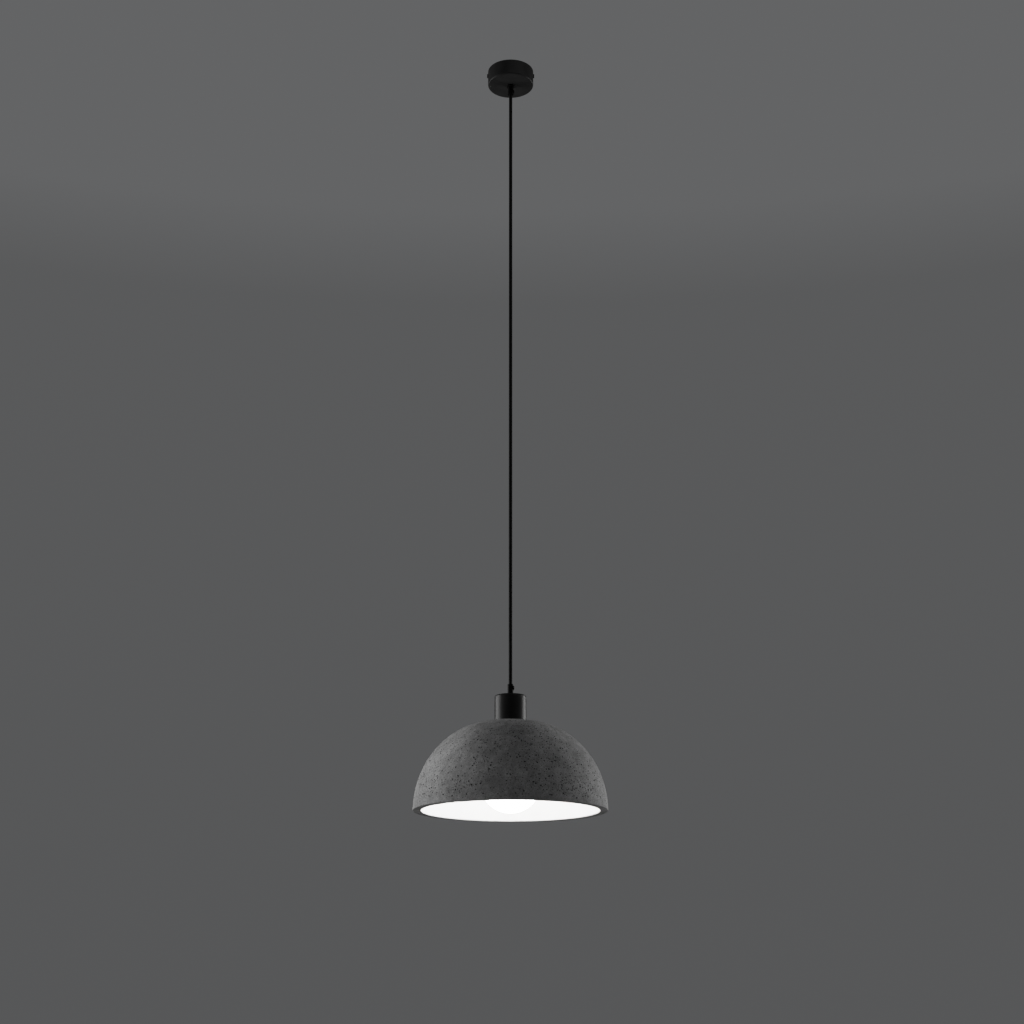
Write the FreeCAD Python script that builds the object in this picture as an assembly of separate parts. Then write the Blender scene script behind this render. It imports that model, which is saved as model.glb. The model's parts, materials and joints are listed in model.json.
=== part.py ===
import FreeCAD, Part
import math
import os

# A pendant ceiling light: a round steel canopy, a straight cord, a steel socket cup and a concrete
# dome shade around an E27 lampholder with a globe bulb. Millimetres. The origin is the centre of the
# canopy in the ceiling plane, +Z is up, and the light hangs down along -Z.

# Canopy and its bracket
CANOPY_RADIUS = 40.0
CANOPY_HEIGHT = 28.0
CANOPY_WALL = 1.0
CANOPY_EDGE = 2.5
SIDE_SCREW_Z = -8.0
PLATE = 1.5
STRAP_WIDTH = 16.0
TAB_WIDTH = 20.0
TAB_REACH = 24.0
EAR_X = 37.0
EAR_DROP = 13.0
SLOT_X = 22.0
SLOT_LENGTH = 12.0
SLOT_WIDTH = 4.5
EARTH_SCREW_Y = -16.0

# Terminal block under the bracket's rear tab
BLOCK_FRONT_Y = 8.5
BLOCK_BACK_Y = 22.5
BLOCK_HALF_WIDTH = 9.0
BLOCK_LOW_Z = -11.5
POLE_X = 4.5
POLE_Z = -8.0

# Cord grips: a screwed gland at each end of the cord
UPPER_GRIP_RADIUS = 5.0
UPPER_GRIP_MOUTH = 4.2
LOWER_GRIP_RADIUS = 4.5
LOWER_GRIP_MOUTH = 3.6
GRIP_FLANGE_RADIUS = 6.8
GRIP_LENGTH = 18.0
GRIP_FLANGE = 3.0
GRIP_BORE = 3.0
GRIP_TAPER = 3.0
THREAD_RADIUS = 5.0
THREAD_HOLE = 5.2
UPPER_STUD = 10.0
LOWER_STUD = 25.0
CLAMP_HEIGHT = 5.8
CLAMP_BOSS_RADIUS = 3.7
CLAMP_HEAD_RADIUS = 3.3
NUT_FLATS = 14.0
NUT_HEIGHT = 3.0

# Cord
CORD_RADIUS = 2.8
FLEX_DEPTH = 1.2
FLEX_GAP = 0.3
CORE_RADIUS = 1.0
CORE_PITCH = 1.35
CORE_BEND = 5.0
UPPER_SHEATH_END = -15.0

# Socket cup and shade
RIM_Z = -1300.0
SHADE_RADIUS = 150.0
SHADE_HEIGHT = 137.0
SHADE_WALL = 13.0
SHADE_LAND = 26.0
SHADE_HOLE = 21.0
RIM_EDGE = 1.5
CUP_RADIUS = 25.0
CUP_HEIGHT = 42.5
CUP_WALL = 1.2
CUP_EDGE = 3.2

# Lampholder
HOLDER_RADIUS = 20.0
HOLDER_CAP_TOP = -1138.0
HOLDER_CAP_JOIN = -1164.0
HOLDER_MOUTH = -1192.0
INSERT_TOP = -1158.0
SCREW_SHELL_RADIUS = 13.4
SCREW_SHELL_LOW = -1187.0
CONTACT_LOW = -1165.0
TERMINAL_X = 10.0
TERMINAL_Z = -1154.5
RING_PITCH = 2.0
RING_RADIUS = 28.5

# Bulb: a 95 mm opal globe on an E27 cap
GLOBE_RADIUS = 47.5
GLOBE_WALL = 0.9
GLOBE_Z = RIM_Z + 45.0
NECK_RADIUS = 15.5
NECK_TOP = -1200.0
TIP_TOP = CONTACT_LOW - 0.3
CAP_TOP = -1169.0
CAP_LOW = -1190.0
CAP_CREST = 13.05
CAP_ROOT = 12.2
E27_PITCH = 25.4 / 7

# Places worked out from the sizes above
CANOPY_SEAT = -CANOPY_HEIGHT
UPPER_LIP = CANOPY_SEAT - GRIP_LENGTH
CUP_TOP = RIM_Z + SHADE_HEIGHT + CUP_HEIGHT
CUP_LOW = RIM_Z + SHADE_HEIGHT
LOWER_LIP = CUP_TOP + GRIP_LENGTH
UPPER_PIVOT = UPPER_LIP + FLEX_DEPTH
LOWER_PIVOT = LOWER_LIP - FLEX_DEPTH
SHADE_INNER_TOP = CUP_LOW - SHADE_WALL
WASHER_LOW = SHADE_INNER_TOP - 1.5
STUD_END = CUP_TOP - LOWER_STUD
LOWER_SHEATH_END = STUD_END - 2.0

Vec = FreeCAD.Vector
UP = Vec(0, 0, 1)


# Shape helpers

def turned(outline):
    """A solid turned about Z from its (radius, height) corners."""
    corners = [Vec(r, 0, z) for r, z in outline]
    face = Part.Face(Part.makePolygon(corners + corners[:1]))
    return face.revolve(Vec(0, 0, 0), UP, 360)


def turned_edges(edges):
    """A solid turned about Z from joined edges in the XZ plane."""
    return Part.Face(Part.Wire(edges)).revolve(Vec(0, 0, 0), UP, 360)


def line(start, end):
    return Part.LineSegment(Vec(start[0], 0, start[1]), Vec(end[0], 0, end[1])).toShape()


def arc(start, middle, end):
    points = [Vec(r, 0, z) for r, z in (start, middle, end)]
    return Part.Arc(*points).toShape()


def rod(start, direction, radius, length):
    return Part.makeCylinder(radius, length, Vec(*start), Vec(*direction))


def sleeve(low, high, inner, outer):
    return turned([(inner, low), (outer, low), (outer, high), (inner, high)])


def block(low, high):
    size = [b - a for a, b in zip(low, high)]
    return Part.makeBox(*size, Vec(*low))


def hex_nut(low, hole):
    """A hexagon nut around the Z axis with its underside at height low."""
    corner = NUT_FLATS / math.sqrt(3)
    turns = [math.radians(60 * n) for n in range(7)]
    outline = Part.makePolygon([Vec(corner * math.cos(a), corner * math.sin(a), low) for a in turns])
    nut = Part.Face(outline).extrude(Vec(0, 0, NUT_HEIGHT))
    return nut.cut(rod((0, 0, low - 1), (0, 0, 1), hole, NUT_HEIGHT + 2))


def rounded(shape, fillet, rings):
    """Fillets the circular edges that have these (radius, height) pairs."""
    chosen = []
    for edge in shape.Edges:
        if not isinstance(edge.Curve, Part.Circle):
            continue
        circle = edge.Curve
        for radius, height in rings:
            if abs(circle.Radius - radius) < 0.01 and abs(circle.Center.z - height) < 0.01:
                chosen.append(edge)
    return shape.makeFillet(fillet, chosen)


def wave(high, low, crest, root, pitch):
    """Rounded thread ridges down a wall: (radius, height) points from high to low."""
    steps = round((high - low) / pitch * 8)
    points = []
    for n in range(steps + 1):
        z = high - (high - low) * n / steps
        swell = 0.5 - 0.5 * math.cos(2 * math.pi * (high - z) / pitch)
        points.append((root + (crest - root) * swell, z))
    return points


def wire_core(start, end, going):
    """An insulated core: straight along Z from start, one bend, then level to end."""
    dx, dy = end[0] - start[0], end[1] - start[1]
    reach = math.hypot(dx, dy)
    out = Vec(dx / reach, dy / reach, 0)
    bend_z = end[2] - going * CORE_BEND
    first = Vec(*start)
    second = Vec(start[0], start[1], bend_z)
    third = Vec(start[0], start[1], end[2]) + out * CORE_BEND
    slack = CORE_BEND * (1 - math.sqrt(0.5))
    middle = Vec(start[0], start[1], end[2] - going * slack) + out * slack
    path = Part.Wire([
        Part.LineSegment(first, second).toShape(),
        Part.Arc(second, middle, third).toShape(),
        Part.LineSegment(third, Vec(*end)).toShape(),
    ])
    section = Part.Wire([Part.makeCircle(CORE_RADIUS, first, UP)])
    return path.makePipeShell([section], True, True)


def slotted_screw(start, direction, shank, length, head, head_height):
    """A screw from its tip at start: shank, then a round head with a driver slot."""
    way = Vec(*direction)
    head_start = Vec(*start) + way * length
    screw = rod(start, direction, shank, length)
    screw = screw.fuse(Part.makeCylinder(head, head_height, head_start, way))
    top = head_start + way * head_height
    side = Vec(0, 0, 1) if abs(way.z) < 0.5 else Vec(0, 1, 0)
    across = way.cross(side)
    corner = top - way * (head_height * 0.4) - across * (head + 1) - side * (head * 0.15)
    slot = Part.makePolygon([
        corner,
        corner + side * (head * 0.3),
        corner + side * (head * 0.3) + way * head_height,
        corner + way * head_height,
        corner,
    ])
    return screw.cut(Part.Face(slot).extrude(across * (2 * head + 2)))


# Ceiling end

def mounting_bracket():
    """A steel cross plate on the ceiling with two end ears tapped for the canopy's screws."""
    half = STRAP_WIDTH / 2
    plate = block((-EAR_X, -half, -PLATE), (EAR_X, half, 0))
    plate = plate.fuse(block((-TAB_WIDTH / 2, -TAB_REACH, -PLATE), (TAB_WIDTH / 2, TAB_REACH, 0)))
    for side in (-1, 1):
        ends = sorted((side * EAR_X, side * (EAR_X - PLATE)))
        plate = plate.fuse(block((ends[0], -half, -EAR_DROP), (ends[1], half, 0)))
        plate = plate.cut(rod((side * (EAR_X - 5), 0, SIDE_SCREW_Z), (side, 0, 0), 2.05, 10))
        run = (SLOT_LENGTH - SLOT_WIDTH) / 2
        width = SLOT_WIDTH / 2
        for end in (-run, run):
            plate = plate.cut(rod((side * SLOT_X + end, 0, -PLATE - 1), (0, 0, 1), width, PLATE + 2))
        low = (side * SLOT_X - run, -width, -PLATE - 1)
        plate = plate.cut(block(low, (side * SLOT_X + run, width, 1)))
    plate = plate.cut(rod((0, EARTH_SCREW_Y, -PLATE - 1), (0, 0, 1), 2.05, PLATE + 2))
    middle = (BLOCK_FRONT_Y + BLOCK_BACK_Y) / 2
    plate = plate.cut(rod((0, middle, -PLATE - 1), (0, 0, 1), 1.55, PLATE + 2))
    return plate.removeSplitter()


def earth_lug():
    """A ring terminal under the earth screw, with the crimp barrel that takes the earth core."""
    top = -PLATE
    ring = rod((0, EARTH_SCREW_Y, top - 0.8), (0, 0, 1), 4.5, 0.8)
    ring = ring.fuse(block((-1.5, EARTH_SCREW_Y + 3, top - 0.8), (1.5, -10, top)))
    ring = ring.cut(rod((0, EARTH_SCREW_Y, top - 2), (0, 0, 1), 2.1, 4))
    barrel = rod((0, -11, top - 1.6), (0, 1, 0), 1.6, 4.6)
    return ring.fuse(barrel).removeSplitter()


def earth_screw():
    return slotted_screw((0, EARTH_SCREW_Y, 0), (0, 0, -1), 2.0, PLATE + 0.8, 3.8, 2.4)


def canopy_cover():
    """The round steel cover, open at the ceiling, with a rounded lower edge."""
    floor = CANOPY_SEAT + CANOPY_WALL
    inner = CANOPY_RADIUS - CANOPY_WALL
    cover = turned([
        (THREAD_HOLE, CANOPY_SEAT),
        (CANOPY_RADIUS, CANOPY_SEAT),
        (CANOPY_RADIUS, 0),
        (inner, 0),
        (inner, floor),
        (THREAD_HOLE, floor),
    ])
    cover = rounded(cover, CANOPY_EDGE, [(CANOPY_RADIUS, CANOPY_SEAT)])
    cover = rounded(cover, CANOPY_EDGE - CANOPY_WALL, [(inner, floor)])
    for side in (-1, 1):
        cover = cover.cut(rod((side * 35, 0, SIDE_SCREW_Z), (side, 0, 0), 2.2, 10))
    return cover


def canopy_screws():
    """The two side screws that hold the cover on the bracket's ears."""
    screws = []
    for side in (-1, 1):
        start = (side * (EAR_X - 4), 0, SIDE_SCREW_Z)
        length = CANOPY_RADIUS + 0.1 - (EAR_X - 4)
        screws.append(slotted_screw(start, (side, 0, 0), 2.0, length, 3.6, 1.6))
    return Part.makeCompound(screws)


def terminal_block():
    """A white two-pole terminal block with a tunnel and two screw wells for each pole."""
    front, back, half = BLOCK_FRONT_Y, BLOCK_BACK_Y, BLOCK_HALF_WIDTH
    body = block((-half, front, BLOCK_LOW_Z), (half, back, -PLATE))
    middle = (front + back) / 2
    for side in (-1, 1):
        body = body.cut(rod((side * POLE_X, front - 1, POLE_Z), (0, 1, 0), 2.3, back - front + 2))
        for y in (middle - 3.5, middle + 3.5):
            body = body.cut(rod((side * POLE_X, y, BLOCK_LOW_Z - 1), (0, 0, 1), 1.7, 4))
    return body.cut(rod((0, middle, BLOCK_LOW_Z - 1), (0, 0, 1), 1.7, 12))


def terminal_sleeves():
    """The brass clamping sleeve of each pole."""
    sleeves = []
    for side in (-1, 1):
        outer = rod((side * POLE_X, BLOCK_FRONT_Y + 1, POLE_Z), (0, 1, 0), 2.2, 12)
        sleeves.append(outer.cut(rod((side * POLE_X, BLOCK_FRONT_Y, POLE_Z), (0, 1, 0), 1.5, 14)))
    return Part.makeCompound(sleeves)


def terminal_screws():
    middle = (BLOCK_FRONT_Y + BLOCK_BACK_Y) / 2
    screws = []
    for side in (-1, 1):
        for y in (middle - 3.5, middle + 3.5):
            start = (side * POLE_X, y, POLE_Z - 2.25)
            screws.append(slotted_screw(start, (0, 0, -1), 1.0, 0.3, 1.5, 0.9))
    return Part.makeCompound(screws)


def block_screw():
    """The screw that holds the terminal block to the bracket's tab."""
    middle = (BLOCK_FRONT_Y + BLOCK_BACK_Y) / 2
    return slotted_screw((0, middle, 0), (0, 0, -1), 1.5, -BLOCK_LOW_Z, 2.8, 1.4)


# Cord grips

def cord_grip(lip, up, stud, radius, mouth):
    """A screwed gland. It runs from its belled mouth at lip to the end of its threaded stud."""
    outline = [
        (mouth, 0),
        (radius, 0),
        (radius, GRIP_LENGTH - GRIP_FLANGE),
        (GRIP_FLANGE_RADIUS, GRIP_LENGTH - GRIP_FLANGE),
        (GRIP_FLANGE_RADIUS, GRIP_LENGTH),
        (THREAD_RADIUS, GRIP_LENGTH),
        (THREAD_RADIUS, GRIP_LENGTH + stud),
        (GRIP_BORE, GRIP_LENGTH + stud),
        (GRIP_BORE, 2 * GRIP_TAPER),
        (mouth, GRIP_TAPER),
    ]
    body = turned([(r, lip + up * s) for r, s in outline])
    clamp_z = lip + up * CLAMP_HEIGHT
    boss = rod((mouth + 0.2, 0, clamp_z), (1, 0, 0), CLAMP_BOSS_RADIUS, radius + 0.1 - mouth)
    body = body.fuse(boss).removeSplitter()
    return body.cut(rod((0, 0, clamp_z), (1, 0, 0), 1.6, 10))


def clamp_screw(lip, up, radius):
    """The side screw, with a domed slotted head, that presses on the cord inside its grip."""
    tip, seat = CORD_RADIUS + 0.1, radius + 0.3
    screw = turned([
        (0, tip),
        (1.5, tip),
        (1.5, seat),
        (CLAMP_HEAD_RADIUS, seat),
        (CLAMP_HEAD_RADIUS, seat + 0.4),
        (CLAMP_HEAD_RADIUS - 0.9, seat + 1.1),
        (CLAMP_HEAD_RADIUS - 2.1, seat + 1.4),
        (0, seat + 1.4),
    ])
    screw = screw.cut(block((-4, -0.35, seat + 0.8), (4, 0.35, seat + 2)))
    screw.rotate(Vec(0, 0, 0), Vec(0, 1, 0), 90)
    screw.translate(Vec(0, 0, lip + up * CLAMP_HEIGHT))
    return screw


# Cord

def flex_ball(pivot):
    """The short bending stretch of cord in a grip's mouth, rounded about the bend's centre."""
    return Part.makeSphere(CORD_RADIUS, Vec(0, 0, pivot))


def straight_cord():
    """The cord between the grips, hollowed at each end around the bending stretch."""
    length = UPPER_PIVOT - LOWER_PIVOT
    run = rod((0, 0, LOWER_PIVOT), (0, 0, 1), CORD_RADIUS, length)
    for pivot in (UPPER_PIVOT, LOWER_PIVOT):
        run = run.cut(Part.makeSphere(CORD_RADIUS + FLEX_GAP, Vec(0, 0, pivot)))
    print(f"straight cord between the bends: {length:.1f} mm")
    return run


def upper_cord_tail():
    """The sheathed end of the cord that the upper grip holds."""
    low = UPPER_PIVOT + CORD_RADIUS + FLEX_GAP
    return rod((0, 0, low), (0, 0, 1), CORD_RADIUS, UPPER_SHEATH_END - low)


def lower_cord_tail():
    """The sheathed end of the cord that the lower grip holds."""
    high = LOWER_PIVOT - CORD_RADIUS - FLEX_GAP
    return rod((0, 0, LOWER_SHEATH_END), (0, 0, 1), CORD_RADIUS, high - LOWER_SHEATH_END)


def upper_core(pole):
    """A canopy core: pole -1 or 1 goes to the terminal block, 0 to the earth lug."""
    if pole == 0:
        start = (0, -CORE_PITCH, UPPER_SHEATH_END)
        return wire_core(start, (0, -6.4, -PLATE - 1.6), 1)
    start = (pole * CORE_PITCH * 0.87, CORE_PITCH * 0.5, UPPER_SHEATH_END)
    return wire_core(start, (pole * POLE_X, BLOCK_FRONT_Y + 1.5, POLE_Z), 1)


def lower_core(leaves, heads):
    """A lampholder core: it leaves the cord's lower end at one angle and heads out at another."""
    x = CORE_PITCH * math.cos(math.radians(leaves))
    y = CORE_PITCH * math.sin(math.radians(leaves))
    along, across = math.cos(math.radians(heads)), math.sin(math.radians(heads))
    run = TERMINAL_X - 2.0 - (x * along + y * across)
    end = (x + run * along, y + run * across, TERMINAL_Z)
    return wire_core((x, y, LOWER_SHEATH_END), end, -1)


# Socket cup and shade

def socket_cup():
    """The steel cup over the lampholder, open where it stands on the shade."""
    ceiling = CUP_TOP - CUP_WALL
    inner = CUP_RADIUS - CUP_WALL
    cup = turned([
        (THREAD_HOLE, CUP_TOP),
        (CUP_RADIUS, CUP_TOP),
        (CUP_RADIUS, CUP_LOW),
        (inner, CUP_LOW),
        (inner, ceiling),
        (THREAD_HOLE, ceiling),
    ])
    cup = rounded(cup, CUP_EDGE, [(CUP_RADIUS, CUP_TOP)])
    return rounded(cup, CUP_EDGE - CUP_WALL, [(inner, ceiling)])


def dome_arc(wall):
    """The quarter ellipse of the shade's outside (wall 0) or inside, from its crest to its rim."""
    crest = Vec(SHADE_LAND, 0, RIM_Z + SHADE_HEIGHT - wall)
    edge = Vec(SHADE_RADIUS - wall, 0, RIM_Z)
    ellipse = Part.Ellipse(crest, edge, Vec(SHADE_LAND, 0, RIM_Z))
    quarter = Part.ArcOfEllipse(ellipse, 0, math.pi / 2).toShape()
    return quarter


def shade():
    """The concrete dome, with a flat crest and a round hole for the lampholder."""
    inner_rim = SHADE_RADIUS - SHADE_WALL
    dome = turned_edges([
        line((SHADE_HOLE, CUP_LOW), (SHADE_LAND, CUP_LOW)),
        dome_arc(0),
        line((SHADE_RADIUS, RIM_Z), (inner_rim, RIM_Z)),
        dome_arc(SHADE_WALL),
        line((SHADE_LAND, SHADE_INNER_TOP), (SHADE_HOLE, SHADE_INNER_TOP)),
        line((SHADE_HOLE, SHADE_INNER_TOP), (SHADE_HOLE, CUP_LOW)),
    ])
    return rounded(dome, RIM_EDGE, [(SHADE_RADIUS, RIM_Z), (inner_rim, RIM_Z)])


def shade_washer():
    return sleeve(WASHER_LOW, SHADE_INNER_TOP, HOLDER_RADIUS + 0.4, SHADE_LAND)


def shade_ring():
    """The threaded ring that clamps the shade up against the cup, with finger notches."""
    bore = HOLDER_RADIUS + 0.05
    flange, hub = WASHER_LOW - 3.0, WASHER_LOW - 9.5
    ring = turned([
        (bore, WASHER_LOW),
        (RING_RADIUS, WASHER_LOW),
        (RING_RADIUS, flange),
        (bore + 3.5, flange),
        (bore + 3.5, hub),
        (bore, hub),
    ])
    for n in range(16):
        angle = math.radians(22.5 * n)
        spot = ((RING_RADIUS + 0.6) * math.cos(angle), (RING_RADIUS + 0.6) * math.sin(angle), hub)
        ring = ring.cut(rod(spot, (0, 0, 1), 1.6, 12))
    return ring


# Lampholder

def lampholder_cap():
    """The upper housing with its M10 neck."""
    outside = HOLDER_RADIUS - 0.4
    return turned([
        (THREAD_RADIUS + 0.05, HOLDER_CAP_TOP),
        (8.0, HOLDER_CAP_TOP),
        (8.0, HOLDER_CAP_TOP - 7),
        (outside - 3, HOLDER_CAP_TOP - 9.5),
        (outside, HOLDER_CAP_TOP - 13),
        (outside, HOLDER_CAP_JOIN),
        (outside - 2, HOLDER_CAP_JOIN),
        (outside - 2, HOLDER_CAP_TOP - 14),
        (outside - 5, HOLDER_CAP_TOP - 11.5),
        (THREAD_RADIUS + 0.05, HOLDER_CAP_TOP - 9.5),
    ])


def lampholder_insert():
    """The ceramic core that carries the contacts and the terminals."""
    disc = rod((0, 0, HOLDER_CAP_JOIN), (0, 0, 1), HOLDER_RADIUS - 2.7, INSERT_TOP - HOLDER_CAP_JOIN)
    return disc.cut(rod((0, 0, INSERT_TOP - 1.5), (0, 0, 1), 3.0, 3.0))


def lampholder_terminals():
    """The brass blocks on the insert that take the live, neutral and earth cores."""
    blocks = []
    for angle in (0, 180, 270):
        body = block((TERMINAL_X - 2, -2.5, INSERT_TOP), (TERMINAL_X + 2, 2.5, INSERT_TOP + 6))
        body.rotate(Vec(0, 0, 0), UP, angle)
        blocks.append(body)
    return Part.makeCompound(blocks)


def lampholder_screws():
    screws = []
    for angle in (0, 180, 270):
        head = rod((TERMINAL_X, 0, INSERT_TOP + 6), (0, 0, 1), 1.7, 1.2)
        low, high = (TERMINAL_X - 2, -0.3, INSERT_TOP + 6.7), (TERMINAL_X + 2, 0.3, INSERT_TOP + 8)
        head = head.cut(block(low, high))
        head.rotate(Vec(0, 0, 0), UP, angle)
        screws.append(head)
    return Part.makeCompound(screws)


def lampholder_shell():
    """The lower housing, threaded outside for the shade ring."""
    high, low = HOLDER_CAP_JOIN - 1.5, HOLDER_MOUTH + 1.5
    thread = wave(high, low, HOLDER_RADIUS, HOLDER_RADIUS - 0.8, RING_PITCH)
    return turned(
        [(16.0, HOLDER_CAP_JOIN), (HOLDER_RADIUS - 0.4, HOLDER_CAP_JOIN)]
        + thread
        + [(HOLDER_RADIUS - 0.8, HOLDER_MOUTH), (15.5, HOLDER_MOUTH), (15.5, HOLDER_MOUTH + 2)]
        + [(16.0, HOLDER_MOUTH + 2)]
    )


def screw_shell():
    """The brass E27 screw shell, formed in rounded ridges."""
    inner = wave(HOLDER_CAP_JOIN, SCREW_SHELL_LOW, SCREW_SHELL_RADIUS + 0.8, SCREW_SHELL_RADIUS, E27_PITCH)
    outer = [(r + 0.4, z) for r, z in inner]
    return turned(inner + outer[::-1])


def centre_contact():
    """The sprung brass tongue that meets the bulb's tip."""
    return block((-5, -2.5, CONTACT_LOW), (5, 2.5, HOLDER_CAP_JOIN))


# Bulb

def bulb_tip_contact():
    return rounded(rod((0, 0, TIP_TOP - 1.0), (0, 0, 1), 4.5, 1.0), 0.4, [(4.5, TIP_TOP)])


def bulb_insulator():
    """The black glass cone between the tip and the screw cap."""
    return turned([(0, CAP_TOP), (9.0, CAP_TOP), (5.5, TIP_TOP - 1.0), (0, TIP_TOP - 1.0)])


def bulb_cap():
    """The thin screw cap with rounded E27 ridges."""
    ridges = wave(CAP_TOP - 1.0, CAP_LOW, CAP_CREST, CAP_ROOT, E27_PITCH)
    inside = [(r - 0.4, z) for r, z in ridges]
    return turned([(9.0, CAP_TOP), *ridges, *inside[::-1], (9.0, CAP_TOP - 0.5)])


def bulb_housing():
    """The white collar between the cap and the globe."""
    return turned([
        (11.0, CAP_LOW),
        (13.0, CAP_LOW),
        (14.2, CAP_LOW - 3),
        (NECK_RADIUS + 0.6, NECK_TOP + 1),
        (NECK_RADIUS + 0.6, NECK_TOP),
        (12.0, NECK_TOP),
        (12.0, CAP_LOW - 2),
        (11.0, CAP_LOW - 2),
    ])


def globe_outline(inset):
    """Half of the globe's section from its lowest point to its neck: an arc, a waist arc."""
    radius = GLOBE_RADIUS - inset
    side = 20.0 - inset
    shoulder = (side, GLOBE_Z + math.sqrt(radius**2 - side**2))
    neck = (NECK_RADIUS - inset, NECK_TOP)
    waist = (NECK_RADIUS + 0.9 - inset, (shoulder[1] + neck[1]) / 2)
    return (0, GLOBE_Z - radius), (radius, GLOBE_Z), shoulder, waist, neck


def bulb_globe():
    """The opal glass globe, a thin closed shell open at its neck."""
    low, wide, shoulder, waist, neck = globe_outline(0)
    low_in, wide_in, shoulder_in, waist_in, neck_in = globe_outline(GLOBE_WALL)
    return turned_edges([
        arc(low, wide, shoulder),
        arc(shoulder, waist, neck),
        line(neck, neck_in),
        arc(neck_in, waist_in, shoulder_in),
        arc(shoulder_in, wide_in, low_in),
        line(low_in, low),
    ])


def bulb_led_board():
    return rod((0, 0, NECK_TOP - 1.6), (0, 0, 1), 13.5, 1.6)


def bulb_led_chips():
    """A ring of square LED chips on the board's lower face."""
    chips = []
    for n in range(10):
        chip = block((7.5, -1.5, NECK_TOP - 2.4), (10.5, 1.5, NECK_TOP - 1.6))
        chip.rotate(Vec(0, 0, 0), UP, 36 * n)
        chips.append(chip)
    return Part.makeCompound(chips)


def bulb_driver_board():
    return block((-9, -0.6, NECK_TOP), (9, 0.6, CAP_TOP - 3))


def bulb_driver_parts():
    """The capacitor, coil and rectifier on the driver board."""
    capacitor = rod((-3.5, 3.7, NECK_TOP + 4), (0, 0, 1), 3.0, 11)
    coil = rod((4.0, 0.6, NECK_TOP + 12), (0, 1, 0), 3.2, 4.5)
    rectifier = block((-6, -3.1, NECK_TOP + 8), (0, -0.6, NECK_TOP + 14))
    return Part.makeCompound([capacitor, coil, rectifier])


def all_nodes():
    nodes = {
        "mounting_bracket": mounting_bracket(),
        "earth_lug": earth_lug(),
        "earth_screw": earth_screw(),
        "canopy_cover": canopy_cover(),
        "canopy_screws": canopy_screws(),
        "terminal_block": terminal_block(),
        "terminal_sleeves": terminal_sleeves(),
        "terminal_screws": terminal_screws(),
        "terminal_block_screw": block_screw(),
        "upper_cord_grip": cord_grip(UPPER_LIP, 1, UPPER_STUD, UPPER_GRIP_RADIUS, UPPER_GRIP_MOUTH),
        "upper_clamp_screw": clamp_screw(UPPER_LIP, 1, UPPER_GRIP_RADIUS),
        "upper_locknut": hex_nut(CANOPY_SEAT + CANOPY_WALL, THREAD_RADIUS + 0.05),
        "upper_cord_tail": upper_cord_tail(),
        "upper_live_core": upper_core(-1),
        "upper_neutral_core": upper_core(1),
        "upper_earth_core": upper_core(0),
        "cord_flex_top": flex_ball(UPPER_PIVOT),
        "cord": straight_cord(),
        "cord_flex_bottom": flex_ball(LOWER_PIVOT),
        "lower_cord_grip": cord_grip(LOWER_LIP, -1, LOWER_STUD, LOWER_GRIP_RADIUS, LOWER_GRIP_MOUTH),
        "lower_clamp_screw": clamp_screw(LOWER_LIP, -1, LOWER_GRIP_RADIUS),
        "lower_locknut": hex_nut(CUP_TOP - CUP_WALL - NUT_HEIGHT, THREAD_RADIUS + 0.05),
        "lower_cord_tail": lower_cord_tail(),
        "lower_live_core": lower_core(30, 0),
        "lower_neutral_core": lower_core(150, 180),
        "lower_earth_core": lower_core(270, 270),
        "socket_cup": socket_cup(),
        "shade": shade(),
        "shade_washer": shade_washer(),
        "shade_ring": shade_ring(),
        "lampholder_cap": lampholder_cap(),
        "lampholder_insert": lampholder_insert(),
        "lampholder_terminals": lampholder_terminals(),
        "lampholder_screws": lampholder_screws(),
        "lampholder_shell": lampholder_shell(),
        "screw_shell": screw_shell(),
        "centre_contact": centre_contact(),
        "bulb_tip_contact": bulb_tip_contact(),
        "bulb_insulator": bulb_insulator(),
        "bulb_cap": bulb_cap(),
        "bulb_housing": bulb_housing(),
        "bulb_globe": bulb_globe(),
        "bulb_led_board": bulb_led_board(),
        "bulb_led_chips": bulb_led_chips(),
        "bulb_driver_board": bulb_driver_board(),
        "bulb_driver_parts": bulb_driver_parts(),
    }
    return nodes


os.makedirs("parts", exist_ok=True)
for name, shape in all_nodes().items():
    shape.exportStep(f"parts/{name}.step")
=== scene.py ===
import bmesh
import bpy
import json
import math
import random
from itertools import product

import numpy as np
from mathutils import Matrix, Vector, geometry, noise


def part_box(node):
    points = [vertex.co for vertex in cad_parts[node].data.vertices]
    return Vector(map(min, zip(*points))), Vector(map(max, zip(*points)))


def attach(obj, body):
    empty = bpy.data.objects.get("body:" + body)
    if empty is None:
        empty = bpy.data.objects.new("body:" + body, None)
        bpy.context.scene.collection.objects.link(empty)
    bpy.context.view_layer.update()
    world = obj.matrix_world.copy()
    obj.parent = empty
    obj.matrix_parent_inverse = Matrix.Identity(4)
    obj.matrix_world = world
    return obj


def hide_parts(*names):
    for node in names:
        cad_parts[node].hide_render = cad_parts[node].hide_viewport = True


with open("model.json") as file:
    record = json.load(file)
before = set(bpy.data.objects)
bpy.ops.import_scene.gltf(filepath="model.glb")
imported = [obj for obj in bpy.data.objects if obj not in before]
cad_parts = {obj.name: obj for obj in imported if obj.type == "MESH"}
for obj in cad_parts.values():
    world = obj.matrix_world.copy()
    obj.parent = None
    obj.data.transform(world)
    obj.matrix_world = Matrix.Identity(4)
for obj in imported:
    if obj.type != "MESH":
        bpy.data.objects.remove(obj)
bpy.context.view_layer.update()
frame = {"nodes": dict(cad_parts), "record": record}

# Places read from the frame, in metres
MM = 0.001
RIM_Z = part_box("shade")[0].z
CREST_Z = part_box("shade")[1].z
SHADE_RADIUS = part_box("shade")[1].x
CANOPY_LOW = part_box("canopy_cover")[0].z
CANOPY_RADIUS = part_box("canopy_cover")[1].x
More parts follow.
